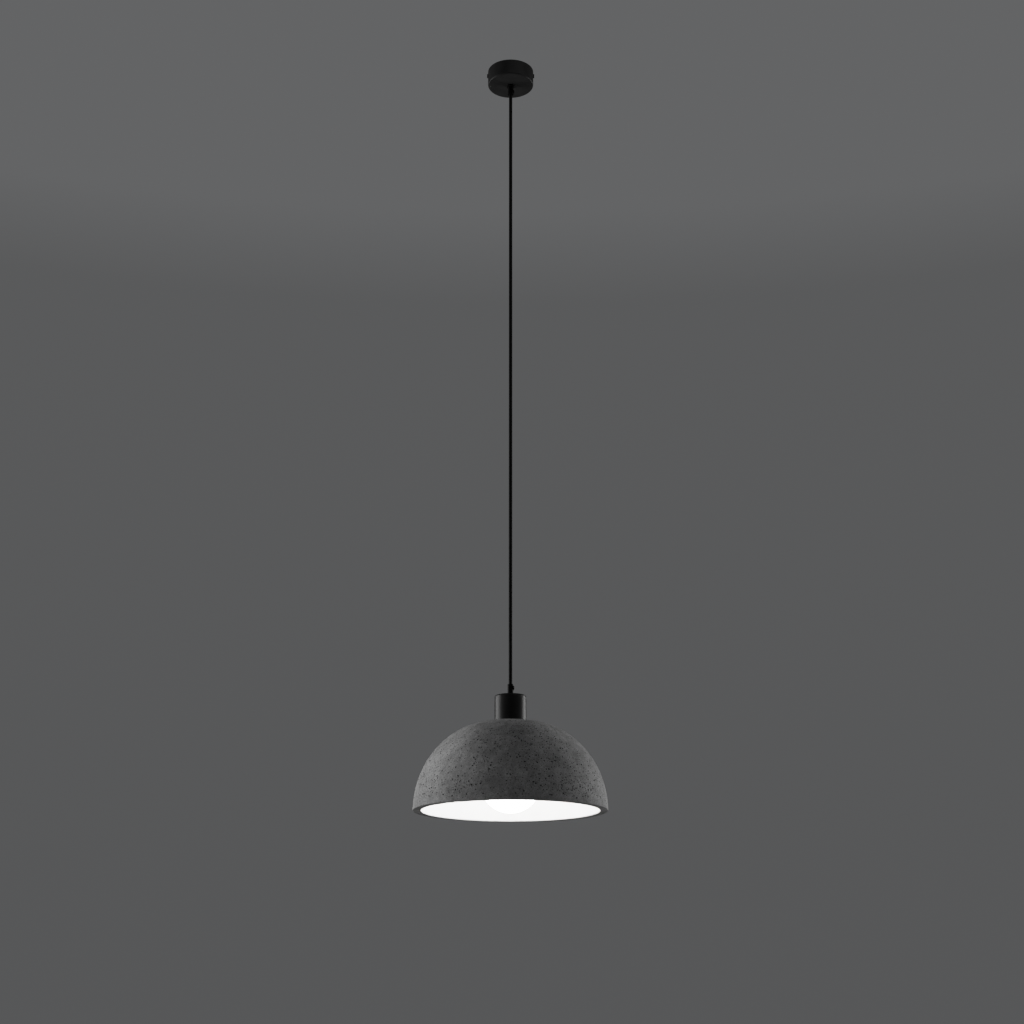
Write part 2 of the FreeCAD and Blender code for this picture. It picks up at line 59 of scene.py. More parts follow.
CUP_LOW, CUP_TOP = (corner.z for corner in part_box("socket_cup"))
CUP_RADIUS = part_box("socket_cup")[1].x
UPPER_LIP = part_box("upper_cord_grip")[0].z
UPPER_STUD_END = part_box("upper_cord_grip")[1].z
LOWER_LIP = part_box("lower_cord_grip")[1].z
LOWER_STUD_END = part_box("lower_cord_grip")[0].z
GLOBE_LOW, GLOBE_TOP = (corner.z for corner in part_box("bulb_globe"))
COLLAR_LOW, COLLAR_TOP = (corner.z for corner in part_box("bulb_housing"))
CAP_LOW, CAP_TOP = (corner.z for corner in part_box("bulb_cap"))
HOLDER_LOW, HOLDER_TOP = (corner.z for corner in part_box("lampholder_shell"))

# Sizes of the pieces made here
SEGMENTS = 128
SHADE_WALL = 13 * MM
SHADE_LAND = 26 * MM  # the flat round the hole, where the cup stands
SHADE_HOLE = 21 * MM
RIM_EDGE = 0.9 * MM  # roundings of the rim, outside and inside
LIP_EDGE = 0.8 * MM
RIM_COLUMNS = 256
GRID_STEP = 3.6 * MM
PORE_COUNT = 2600
PORE_SEED = 11
PORE_SIDES = 8
CORD_DIAMETER = 5.6 * MM
CORD_BEND_DEPTH = 1.2 * MM  # how far inside a grip's lip the cord turns
THREAD_RADIUS = 5 * MM
GRIP_THREAD_HOLE = THREAD_RADIUS + 0.2 * MM
CLAMP_HEIGHT = 5.8 * MM  # of the clamp screw, from its grip's lip
GLOBE_RADIUS = 47.45 * MM
GLOBE_WALL = 0.9 * MM
RING_PITCH = 2 * MM
E27_PITCH = 25.4 / 7 * MM

# Camera, in metres and degrees
CAMERA_SIDE = 2.4 * MM
CAMERA_DISTANCE = 2.470
CAMERA_DROP = 0.2896  # below the rim
CAMERA_TILT = 17.33  # upwards
CAMERA_LENS = 56.0

# Strength of the lit globe, and of the room's light towards the front and towards the back
GLOBE_GLOW = 80.0
ROOM_FRONT = 0.10
ROOM_BACK = 0.075


def add_camera():
    """The camera, at the photograph's height and tilt."""
    data = bpy.data.cameras.new("camera")
    data.lens = CAMERA_LENS
    data.sensor_width = 36.0
    data.clip_end = 50.0
    camera = bpy.data.objects.new("camera", data)
    camera.location = (CAMERA_SIDE, -CAMERA_DISTANCE, RIM_Z - CAMERA_DROP)
    camera.rotation_euler = (math.radians(90 + CAMERA_TILT), 0, 0)
    bpy.context.scene.collection.objects.link(camera)
    bpy.context.scene.camera = camera


# Materials

def colour_ramp(tree, source, stops):
    """A colour ramp. A stop is (position, grey) or (position, (r, g, b))."""
    node = tree.nodes.new("ShaderNodeValToRGB")
    elements = node.color_ramp.elements
    for n, (position, colour) in enumerate(stops):
        element = elements[n] if n < 2 else elements.new(position)
        element.position = position
        rgb = colour if isinstance(colour, tuple) else (colour,) * 3
        element.color = (*rgb, 1)
    tree.links.new(source, node.inputs["Fac"])
    return node.outputs["Color"]


class Shader:
    """A material with its Principled shader, and short calls for the nodes that feed it."""

    def __init__(self, name, sockets):
        self.material = bpy.data.materials.new(name)
        self.material.use_nodes = True
        self.tree = self.material.node_tree
        self.nodes, self.links = self.tree.nodes, self.tree.links
        self.surface = self.nodes["Principled BSDF"]
        for socket, value in sockets.items():
            self.surface.inputs[socket].default_value = value
        self.place = self.nodes.new("ShaderNodeTexCoord").outputs["Object"]

    def feed(self, socket, source):
        self.links.new(source, self.surface.inputs[socket])

    def noise(self, scale, detail=4.0, roughness=0.55, stretch=None):
        node = self.nodes.new("ShaderNodeTexNoise")
        node.inputs["Scale"].default_value = scale
        node.inputs["Detail"].default_value = detail
        node.inputs["Roughness"].default_value = roughness
        self.links.new(self.stretched(stretch), node.inputs["Vector"])
        return node.outputs["Fac"]

    def stretched(self, stretch):
        if stretch is None:
            return self.place
        mapping = self.nodes.new("ShaderNodeMapping")
        mapping.inputs["Scale"].default_value = stretch
        self.links.new(self.place, mapping.inputs["Vector"])
        return mapping.outputs["Vector"]

    def cells(self, scale):
        node = self.nodes.new("ShaderNodeTexVoronoi")
        node.inputs["Scale"].default_value = scale
        self.links.new(self.place, node.inputs["Vector"])
        return node.outputs["Distance"]

    def attribute(self, name):
        node = self.nodes.new("ShaderNodeAttribute")
        node.attribute_name = name
        return node.outputs["Fac"]

    def ramp(self, source, stops):
        return colour_ramp(self.tree, source, stops)

    def blend(self, kind, amount, first, second):
        """Mixes two colour outputs with this blend mode."""
        node = self.nodes.new("ShaderNodeMix")
        node.data_type = "RGBA"
        node.blend_type = kind
        node.inputs["Factor"].default_value = amount
        self.links.new(first, node.inputs["A"])
        self.links.new(second, node.inputs["B"])
        return node.outputs["Result"]

    def range(self, source, low, high):
        node = self.nodes.new("ShaderNodeMapRange")
        node.inputs["To Min"].default_value = low
        node.inputs["To Max"].default_value = high
        self.links.new(source, node.inputs["Value"])
        return node.outputs["Result"]

    def bump(self, source, strength, depth, under=None):
        node = self.nodes.new("ShaderNodeBump")
        node.inputs["Strength"].default_value = strength
        node.inputs["Distance"].default_value = depth
        self.links.new(source, node.inputs["Height"])
        if under is not None:
            self.links.new(under, node.inputs["Normal"])
        return node.outputs["Normal"]


def plain_finish(name, dark, light, roughness, sockets,
                 cloud=60.0, grain=1200.0, relief=0.1):
    """A finish whose colour drifts between two tones, with uneven gloss and a fine grain."""
    shader = Shader(name, sockets)
    shader.feed("Base Color", shader.ramp(shader.noise(cloud), [(0.3, dark), (0.7, light)]))
    low, high = roughness
    shader.feed("Roughness", shader.range(shader.noise(cloud * 3, 6.0), low, high))
    shader.feed("Normal", shader.bump(shader.noise(grain, 3.0), relief, 0.15 * MM))
    return shader.material


def brushed_finish(name, dark, light, roughness, stretch=(40, 40, 1600)):
    """Metal with turned or drawn lines."""
    shader = Shader(name, {"Metallic": 1.0})
    lines = shader.noise(1.0, 4.0, 0.6, stretch)
    shader.feed("Base Color", shader.ramp(lines, [(0.25, dark), (0.75, light)]))
    low, high = roughness
    shader.feed("Roughness", shader.range(shader.noise(80.0, 5.0), low, high))
    shader.feed("Normal", shader.bump(lines, 0.12, 0.05 * MM))
    return shader.material


def concrete_finish():
    """Grey cast concrete: cloudy and sandy, with painted shade darkening its open pores and tiny
    pits.
    """
    shader = Shader("concrete", {"Specular IOR Level": 0.25})
    clouds = shader.ramp(shader.noise(15.0, 5.0, 0.6), [(0.32, 0.29), (0.70, 0.50)])
    patches = shader.ramp(shader.noise(95.0, 6.0, 0.7), [(0.32, 0.66), (0.68, 1.0)])
    sand = shader.ramp(shader.noise(620.0, 3.0, 0.75), [(0.32, 0.60), (0.66, 1.0)])
    # Tiny pits as dark specks: painted shade, whose pattern also drives the bump below.
    shaded_speck_pits = shader.ramp(shader.cells(290.0), [(0.14, 0.30), (0.26, 1.0)])
    thin = shader.ramp(shader.noise(120.0, 2.0), [(0.44, 1.0), (0.52, 0.0)])
    shaded_speck_pits = shader.blend("LIGHTEN", 1.0, shaded_speck_pits, thin)
    # Painted shade in the pores: the pore attribute darkens their walls and floors.
    pore_painted_shade = shader.ramp(shader.attribute("pore"), [(0.0, 1.0), (0.9, 0.05)])
    colour = shader.blend("MULTIPLY", 1.0, clouds, patches)
    colour = shader.blend("MULTIPLY", 1.0, colour, sand)
    colour = shader.blend("MULTIPLY", 1.0, colour, shaded_speck_pits)
    shader.feed("Base Color", shader.blend("MULTIPLY", 1.0, colour, pore_painted_shade))
    shader.feed("Roughness", shader.range(shader.noise(200.0, 4.0), 0.74, 0.94))
    relief = shader.bump(shader.noise(300.0, 6.0, 0.75), 0.6, 0.8 * MM)
    shader.feed("Normal", shader.bump(shaded_speck_pits, 0.6, 0.4 * MM, relief))
    return shader.material


def coat_finish():
    """White paint inside the shade, over the concrete's fine relief."""
    shader = Shader("white_coat", {"Specular IOR Level": 0.35})
    shader.feed("Base Color", shader.ramp(shader.noise(30.0, 4.0), [(0.3, 0.80), (0.7, 0.87)]))
    shader.feed("Roughness", shader.range(shader.noise(120.0, 4.0), 0.48, 0.62))
    shader.feed("Normal", shader.bump(shader.noise(500.0, 4.0), 0.2, 0.2 * MM))
    return shader.material


def lit_glass_finish():
    """Opal glass lit from inside, a little dimmer towards its neck."""
    shader = Shader("opal_glass", {
        "Base Color": (0.92, 0.91, 0.9, 1),
        "Coat Weight": 0.6,
        "Coat Roughness": 0.04,
        "Emission Strength": GLOBE_GLOW,
    })
    shader.feed("Roughness", shader.range(shader.noise(90.0, 3.0), 0.14, 0.22))
    split = shader.nodes.new("ShaderNodeSeparateXYZ")
    shader.links.new(shader.place, split.inputs["Vector"])
    height = shader.nodes.new("ShaderNodeMapRange")
    height.inputs["From Min"].default_value = GLOBE_TOP
    height.inputs["From Max"].default_value = GLOBE_TOP - 30 * MM
    shader.links.new(split.outputs["Z"], height.inputs["Value"])
    tones = [(0.0, (0.45, 0.42, 0.38)), (1.0, (1.0, 0.985, 0.96))]
    shader.feed("Emission Color", shader.ramp(height.outputs["Result"], tones))
    return shader.material


def striped_core_finish():
    """Green insulation with a yellow stripe along it."""
    shader = Shader("core_earth", {"Specular IOR Level": 0.5})
    stripe = shader.nodes.new("ShaderNodeTexWave")
    stripe.bands_direction = "X"
    stripe.inputs["Scale"].default_value = 160.0
    stripe.inputs["Distortion"].default_value = 0.4
    shader.links.new(shader.place, stripe.inputs["Vector"])
    bands = [(0.48, (0.05, 0.30, 0.05)), (0.52, (0.75, 0.66, 0.05))]
    shader.feed("Base Color", shader.ramp(stripe.outputs["Fac"], bands))
    shader.feed("Roughness", shader.range(shader.noise(300.0), 0.32, 0.45))
    return shader.material


BLACK_METAL = {"Specular IOR Level": 0.1}
PLASTIC = {"Specular IOR Level": 0.5}
DULL = {"Specular IOR Level": 0.05}
GLAZED = {"Coat Weight": 0.5}

# Name, darker and lighter tone, roughness, sockets, then cloud, grain and relief
PLAIN_FINISHES = (
    ("black_steel", 0.024, 0.032, (0.34, 0.42), BLACK_METAL, 45, 1500, 0.16),
    ("black_nylon", 0.007, 0.011, (0.55, 0.65), DULL, 90, 1800, 0.12),
    ("cord_sheath", 0.010, 0.014, (0.6, 0.7), DULL, 30, 900, 0.07),
    ("white_nylon", 0.68, 0.78, (0.4, 0.52), PLASTIC, 80, 1200, 0.08),
    ("core_brown", (0.11, 0.04, 0.015), (0.16, 0.06, 0.02), (0.3, 0.4), PLASTIC),
    ("core_blue", (0.01, 0.06, 0.32), (0.02, 0.09, 0.42), (0.3, 0.4), PLASTIC),
    ("fibre", (0.06, 0.05, 0.045), (0.11, 0.09, 0.08), (0.8, 0.95), PLASTIC, 200, 900, 0.5),
    ("ceramic", 0.62, 0.74, (0.45, 0.6), PLASTIC, 120, 1500, 0.2),
    ("black_glass", 0.004, 0.009, (0.06, 0.14), GLAZED, 90, 700, 0.03),
    ("bulb_collar", 0.74, 0.82, (0.25, 0.34), PLASTIC, 60, 900, 0.04),
    ("board_white", 0.76, 0.84, (0.3, 0.4), PLASTIC, 150, 900, 0.05),
    ("led_chip", (0.75, 0.5, 0.06), (0.9, 0.66, 0.12), (0.3, 0.5), PLASTIC, 700),
    ("board_green", (0.01, 0.1, 0.03), (0.02, 0.15, 0.05), (0.3, 0.45), PLASTIC),
)

# Name, darker and lighter tone, roughness
BRUSHED_FINISHES = (
    ("zinc_steel", 0.42, 0.58, (0.28, 0.42)),
    ("brass", (0.62, 0.40, 0.15), (0.78, 0.54, 0.24), (0.22, 0.34)),
    ("cap_metal", 0.55, 0.7, (0.18, 0.3)),
)


def make_finishes():
    """One material for each of the record's slots, and the white coat."""
    finishes = {row[0]: plain_finish(*row) for row in PLAIN_FINISHES}
    finishes.update({row[0]: brushed_finish(*row) for row in BRUSHED_FINISHES})
    finishes["core_earth"] = striped_core_finish()
    finishes["concrete"] = concrete_finish()
    finishes["opal_glass"] = lit_glass_finish()
    finishes["white_coat"] = coat_finish()
    return finishes


def dress_cad_nodes(finishes):
    """Gives each CAD node the material of its slot."""
    for row in frame["record"]["subparts"]:
        node = frame["nodes"][row["node"]]
        node.data.materials.clear()
        node.data.materials.append(finishes[row["material_slot"]])


# Mesh helpers

def link(name, mesh):
    piece = bpy.data.objects.new(name, mesh)
    bpy.context.scene.collection.objects.link(piece)
    return piece


def smooth(mesh, sharp=35):
    mesh.shade_smooth()
    mesh.set_sharp_from_angle(angle=math.radians(sharp))


def bent(start, corner, end, steps):
    """Points of a curve from start to end that leans towards corner, after its start."""
    curve = []
    for n in range(1, steps + 1):
        t = n / steps
        curve.append(tuple(start * (1 - t) ** 2 + corner * 2 * t * (1 - t) + end * t * t))
    return curve


def soften(corners, steps=4):
    """Rounds the corners of a closed outline.

    A corner is (radius, height) or (radius, height, fillet)."""
    outline = []
    for n, corner in enumerate(corners):
        here = Vector(corner[:2])
        fillet = corner[2] if len(corner) > 2 else 0
        if not fillet:
            outline.append(tuple(here))
            continue
        back = Vector(corners[n - 1][:2]) - here
        ahead = Vector(corners[(n + 1) % len(corners)][:2]) - here
        reach = min(fillet, 0.48 * back.length, 0.48 * ahead.length)
        start, end = here + back.normalized() * reach, here + ahead.normalized() * reach
        outline += [tuple(start), *bent(start, here, end, steps)]
    return outline


def turned(name, outline, segments=SEGMENTS, swell=None):
    """A solid turned about Z from a closed outline.

    swell(radius, height, angle) is added to the radius."""
    vertices = []
    for radius, height in outline:
        for column in range(segments):
            angle = 2 * math.pi * column / segments
            r = radius + (swell(radius, height, angle) if swell else 0)
            vertices.append((r * math.cos(angle), r * math.sin(angle), height))
    rows = len(outline)
    faces = []
    for row in range(rows):
        above = (row + 1) % rows
        for column in range(segments):
            beside = (column + 1) % segments
            faces.append((
                row * segments + column,
                row * segments + beside,
                above * segments + beside,
                above * segments + column,
            ))
    mesh = bpy.data.meshes.new(name)
    mesh.from_pydata(vertices, [], faces)
    shape = bmesh.new()
    shape.from_mesh(mesh)
    bmesh.ops.remove_doubles(shape, verts=shape.verts, dist=1e-7)
    bmesh.ops.dissolve_degenerate(shape, edges=shape.edges, dist=1e-7)
    bmesh.ops.recalc_face_normals(shape, faces=shape.faces)
    shape.to_mesh(mesh)
    shape.free()
    smooth(mesh)
    return link(name, mesh)


def combine(piece, tool, operation):
    """Joins or cuts piece with tool, and removes the tool."""
    modifier = piece.modifiers.new("combine", "BOOLEAN")
    modifier.object = tool
    modifier.operation = operation
    modifier.solver = "EXACT"
    bpy.context.view_layer.update()
    finished = piece.evaluated_get(bpy.context.evaluated_depsgraph_get())
    whole = bpy.data.meshes.new_from_object(finished)
    piece.modifiers.clear()
    piece.data = whole
    bpy.data.objects.remove(tool)
    smooth(piece.data)
    return piece


def round_bar(name, start, end, radius, fillet, segments=48):
    """A round bar between two points, with rounded ends."""
    a, b = Vector(start), Vector(end)
    length = (b - a).length
    corners = [(0, 0), (radius, 0, fillet), (radius, length, fillet), (0, length)]
    bar = turned(name, soften(corners, 3), segments)
    turn = Vector((0, 0, 1)).rotation_difference(b - a).to_matrix().to_4x4()
    bar.data.transform(turn)
    bar.data.transform(Matrix.Translation(a))
    return bar


def box_mesh(name, low, high):
    mesh = bpy.data.meshes.new(name)
    shape = bmesh.new()
    bmesh.ops.create_cube(shape, size=1)
    for vertex in shape.verts:
        for axis in range(3):
            middle = (low[axis] + high[axis]) / 2
            vertex.co[axis] = middle + vertex.co[axis] * (high[axis] - low[axis])
    shape.to_mesh(mesh)
    shape.free()
    return link(name, mesh)


def helix(root, depth, low, top, pitch, hand):
    """A swell for turned(): a thread between two heights, on what lies beyond root."""
    def swell(radius, height, angle):
        if radius < root or not low <= height <= top:
            return 0
        turn = 2 * math.pi * (top - height) / pitch + hand * angle
        return depth * (0.5 - 0.5 * math.cos(turn))
    return swell


def place(piece, body, slot, finish, *nodes):
    """Gives the piece its material and body, and lets it stand for the CAD nodes. The slot is not
    used.
    """
    piece.data.materials.clear()
    piece.data.materials.append(finish)
    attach(piece, body)
    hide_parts(*nodes)


# The cord

def add_cord(finish):
    """The taut round cord between the bends at the two grips."""
    top, bottom = UPPER_LIP + CORD_BEND_DEPTH, LOWER_LIP - CORD_BEND_DEPTH
    route = [(0, 0, top), (0, 0, (top + bottom) / 2), (0, 0, bottom)]
    curve = bpy.data.curves.new("cord_line", "CURVE")
    curve.dimensions = "3D"
    curve.bevel_depth = CORD_DIAMETER / 2
    curve.bevel_resolution = 7
    curve.resolution_u = 8
    curve.use_fill_caps = True
    spline = curve.splines.new("NURBS")
    spline.points.add(len(route) - 1)
    for point, spot in zip(spline.points, route):
        point.co = (*spot, 1)
    spline.order_u = 3
    spline.use_endpoint_u = True
    cord = link("cord_line", curve)
    place(cord, "cord_run", "cord_sheath", finish, "cord", "cord_flex_top", "cord_flex_bottom")


# The canopy, the grips and the cup

def add_canopy(finish):
    wall = 1 * MM
    floor = CANOPY_LOW + wall
    inner = CANOPY_RADIUS - wall
    outline = soften([
        (GRIP_THREAD_HOLE, CANOPY_LOW, 0.2 * MM),
        (CANOPY_RADIUS, CANOPY_LOW, 2.6 * MM),
        (CANOPY_RADIUS, 0, 0.3 * MM),
        (inner, 0, 0.3 * MM),
        (inner, floor, 1.6 * MM),
        (GRIP_THREAD_HOLE, floor, 0.2 * MM),
    ], 6)
    canopy = turned("canopy_shell", outline, 160)
    place(canopy, "canopy", "black_steel", finish, "canopy_cover")


def add_cup(finish):
    wall = 1.2 * MM
    ceiling = CUP_TOP - wall
    inner = CUP_RADIUS - wall
    outline = soften([
        (GRIP_THREAD_HOLE, CUP_TOP, 0.2 * MM),
        (CUP_RADIUS, CUP_TOP, 3.4 * MM),
        (CUP_RADIUS, CUP_LOW, 0.3 * MM),
        (inner, CUP_LOW, 0.3 * MM),
        (inner, ceiling, 2.1 * MM),
        (GRIP_THREAD_HOLE, ceiling, 0.2 * MM),
    ], 6)
    cup = turned("socket_cup_shell", outline, 160)
    place(cup, "lamp", "black_steel", finish, "socket_cup")


def add_grip(name, body, lip, stud_end, radius, mouth, finish, node, clamp_node):
    """A screwed gland with a belled mouth, and the domed clamp screw on its +X side."""
    up = 1 if stud_end > lip else -1
    stud = abs(stud_end - lip)
    flange, bore, seat, taper = 6.8 * MM, 3 * MM, 18 * MM, 3 * MM
    flange_start = seat - 3 * MM
    thread = THREAD_RADIUS - 0.05 * MM
    corners = [
        (mouth, 0, 0.25 * MM),
        (radius, 0, 0.35 * MM),
        (radius, flange_start, 0.2 * MM),
        (flange, flange_start, 0.7 * MM),
        (flange, seat, 0.2 * MM),
        (thread, seat),
        (thread, stud),
        (bore, stud),
        (bore, 2 * taper, 0.8 * MM),
        (mouth, taper, 0.8 * MM),
    ]
    outline = [(r, lip + up * s) for r, s in soften(corners, 4)]
    grip = turned(name, outline, 96)
    clamp_z = lip + up * CLAMP_HEIGHT
    boss_start, boss_end = mouth + 0.2 * MM, radius + 0.28 * MM
    boss = round_bar("boss", (boss_start, 0, clamp_z), (boss_end, 0, clamp_z), 3.7 * MM, 0.4 * MM)
    combine(grip, boss, "UNION")
    place(grip, body, "black_nylon", finish, node)
    screw = clamp_screw(name + "_screw", boss_end)
    turn = Matrix.Rotation(math.pi / 2, 4, "Y")
    screw.data.transform(Matrix.Translation((0, 0, clamp_z)) @ turn)
    place(screw, body, "black_nylon", finish, clamp_node)


def clamp_screw(name, seat):
    """A slotted domed screw along Z, whose head sits at the height seat."""
    tip, shank, head = 2.9 * MM, 1.5 * MM, 3.3 * MM
    top = seat + 1.38 * MM
    corners = [
        (0, tip),
        (shank, tip),
        (shank, seat),
        (head, seat),
        (head, seat + 0.4 * MM, 0.3 * MM),
        (head - 0.9 * MM, seat + 1.1 * MM, 0.4 * MM),
        (head - 2.1 * MM, top, 0.4 * MM),
        (0, top),
    ]
    screw = turned(name, soften(corners, 4), 64)
    half_length, half_width, depth = 4 * MM, 0.35 * MM, 0.6 * MM
    low = (-half_length, -half_width, top - depth)
    high = (half_length, half_width, top + 1 * MM)
    return combine(screw, box_mesh("slot", low, high), "DIFFERENCE")


# The concrete shade

def dome_curve(inset):
    """Arc length, radius and height along the shade from its axis to its rim.

    Inset is 0 for the outside and the wall's thickness for the inside."""
    turn = np.linspace(0, math.pi / 2, 600)
    radius = SHADE_LAND + (SHADE_RADIUS - inset - SHADE_LAND) * np.sin(turn)
    height = RIM_Z + (CREST_Z - inset - RIM_Z) * np.cos(turn)
    radius = np.concatenate([[0], radius])
    height = np.concatenate([[height[0]], height])
    steps = np.hypot(np.diff(radius), np.diff(height))
    return np.concatenate([[0], np.cumsum(steps)]), radius, height


def dome_spot(curve, reach, angle, depth):
    """The point at an arc length and angle on the dome, sunk by depth."""
    length, radius, height = curve
    r, z = np.interp(reach, length, radius), np.interp(reach, length, height)
    step = 0.2 * MM
    dr = np.interp(reach + step, length, radius) - np.interp(reach - step, length, radius)
    dz = np.interp(reach + step, length, height) - np.interp(reach - step, length, height)
    size = math.hypot(dr, dz)
    out_r, out_z = -dz / size, dr / size
    r, z = r - out_r * depth, z - out_z * depth
    return r * math.cos(angle), r * math.sin(angle), z


def laid_flat(angle, reach):
    """A point of the dome on the flat layout, which keeps its distance from the axis."""
    return Vector((reach * math.cos(angle), reach * math.sin(angle)))


def cell_of(spot, size):
    return tuple(int(c // size) for c in spot)


def near_items(cells, key):
    """What the grid holds in this cell and in those round it."""
    found = []
    for step in product((-1, 0, 1), repeat=len(key)):
        found += cells.get(tuple(k + s for k, s in zip(key, step)), [])
    return found


def crowding(spot, reach, end):
    """The chance of a pore here: more at the sides and in drifts, fewer at the crest and rim."""
    crowd = 0.46 + 0.24 * abs(spot.x) / SHADE_RADIUS
    crowd += 0.5 * noise.noise(spot * 38) + 0.4 * noise.noise(spot * 110)
    edge = min(1.0, (reach - 24 * MM) / (50 * MM)) * min(1.0, (end - reach) / (14 * MM))
    return max(0.0, crowd) ** 1.5 * edge * 1.6


def pore_size(rng):
    size = (0.64 + 0.75 * rng.random() ** 2.4) * MM
    if rng.random() < 0.03:
        size *= 1.25
    return size


def scatter_pores(curve, end, rng):
    """Pores as (angle, arc length, radius), in loose clusters, none touching another."""
    length, radius, _ = curve
    pores, cells = [], {}
    tries = 0
    while len(pores) < PORE_COUNT and tries < 40 * PORE_COUNT:
        tries += 1
        angle = rng.uniform(0, 2 * math.pi)
        reach = rng.uniform(30 * MM, end - 5 * MM)
        r = float(np.interp(reach, length, radius))
        if rng.random() > r / SHADE_RADIUS:
            continue
        spot = Vector(dome_spot(curve, reach, angle, 0))
        if rng.random() > crowding(spot, reach, end):
            continue
        size = pore_size(rng)
        key = cell_of(spot, 6 * MM)
        if any((spot - o).length < 1.25 * (size + s) for o, s in near_items(cells, key)):
            continue
        cells.setdefault(key, []).append((spot, size))
        pores.append((angle, reach, size))
    return pores


def pore_points(curve, pore, rng):
    """The lip, wall and floor of one uneven pore, as (angle, arc length, depth, painted shade).
    """
    angle, reach, size = pore
    r = float(np.interp(reach, curve[0], curve[1]))
    lean = rng.uniform(0, math.pi)
    cos, sin = math.cos(lean), math.sin(lean)
    long_side = rng.uniform(1.0, 1.5)
    deep = size * rng.uniform(0.7, 1.1)
    # Painted shade: 1 on the pore's floor and wall, 0 on its lip.
    points = [(angle, reach, deep, 1.0)]
    uneven = [rng.uniform(0.8, 1.15) for _ in range(PORE_SIDES)]
    for share, depth, dark in ((1.0, 0.0, 0.0), (0.82, 0.75 * deep, 1.0)):
        for n in range(PORE_SIDES):
            turn = 2 * math.pi * n / PORE_SIDES
            x, y = math.cos(turn) * long_side, math.sin(turn) / long_side
            x, y = x * cos - y * sin, x * sin + y * cos
            x, y = x * size * share * uneven[n], y * size * share * uneven[n]
            points.append((angle + x / r, reach + y, depth, dark))
    return points


def dome_grid(end):
    """Loose rings of points over the dome, as (angle, arc length), from its hole to its rim."""
    rings = round((end - SHADE_HOLE) / GRID_STEP)
    points = []
    for ring in range(1, rings):
        reach = SHADE_HOLE + (end - SHADE_HOLE) * ring / rings
        count = round(2 * math.pi * reach / (GRID_STEP * 1.1))
        points += [(2 * math.pi * (n + 0.5 * (ring % 2)) / count, reach) for n in range(count)]
    return points


def outer_skin():
    """The pored outside of the shade: its vertices, triangles and each vertex's painted pore
    shade.

    The dome is laid out flat around its axis, joined up by a Delaunay net, and bent back.
    The first two rings of vertices are the rim's and the hole's, which the rest joins."""
    rng = random.Random(PORE_SEED)
    curve = dome_curve(0)
    end = float(np.interp(-(RIM_Z + RIM_EDGE), -curve[2], curve[0]))
    ring = [2 * math.pi * n / RIM_COLUMNS for n in range(RIM_COLUMNS)]
    points = [(angle, end, 0.0, 0.0) for angle in ring]
    points += [(angle, SHADE_HOLE, 0.0, 0.0) for angle in ring]
    pores = scatter_pores(curve, end, rng)
    taken = {}
    cell = 4 * MM
    for angle, reach, size in pores:
        flat = laid_flat(angle, reach)
        taken.setdefault(cell_of(flat, cell), []).append((flat, size))
    for angle, reach in dome_grid(end):
        flat = laid_flat(angle, reach)
        near = near_items(taken, cell_of(flat, cell))
        if any((flat - spot).length < 2.3 * size for spot, size in near):
            continue
        spot = Vector(dome_spot(curve, reach, angle, 0))
        wobble = 0.12 * MM * noise.noise(spot * 45) + 0.05 * MM * noise.noise(spot * 190)
        points.append((angle, reach, abs(wobble), 0.0))
    for pore in pores:
        points += pore_points(curve, pore, rng)
    flat = [laid_flat(angle, reach) for angle, reach, _, _ in points]
    _, _, faces, origin, _, _ = geometry.delaunay_2d_cdt(flat, [], [], 0, 1e-7)
    first = [sources[0] for sources in origin]
    triangles = [tuple(first[v] for v in face) for face in faces]
    hole = range(RIM_COLUMNS, 2 * RIM_COLUMNS)
    triangles = [t for t in triangles if not all(v in hole for v in t)]
    vertices = [dome_spot(curve, reach, angle, depth) for angle, reach, depth, _ in points]
    return vertices, triangles, [dark for _, _, _, dark in points]


def inner_outline():
    """The rest of the shade's section, from the rim's outer edge round the inside to the hole.

    Also the number of its first rows that stay bare concrete."""
    inner = SHADE_RADIUS - SHADE_WALL
    length, radius, height = dome_curve(SHADE_WALL)
    outer_steps, lip_steps, inside_steps = 5, 3, 40
    rim = []
    for n in range(1, outer_steps + 1):
        turn = math.pi / 2 * n / outer_steps
        r = SHADE_RADIUS - RIM_EDGE + RIM_EDGE * math.cos(turn)
        rim.append((r, RIM_Z + RIM_EDGE * (1 - math.sin(turn))))
    rim += [(inner + 3.5 * MM * n, RIM_Z) for n in (2, 1)]
    for n in range(lip_steps + 1):
        turn = math.pi / 2 * n / lip_steps
        r = inner + LIP_EDGE * (1 - math.sin(turn))
        rim.append((r, RIM_Z + LIP_EDGE * (1 - math.cos(turn))))
    start = float(np.interp(-(RIM_Z + LIP_EDGE), -height, length))
    inside = []
    for n in range(1, inside_steps + 1):
        reach = start + (SHADE_HOLE - start) * n / inside_steps
        r, z = np.interp(reach, length, radius), np.interp(reach, length, height)
        inside.append((float(r), float(z)))
    return rim + inside, len(rim)


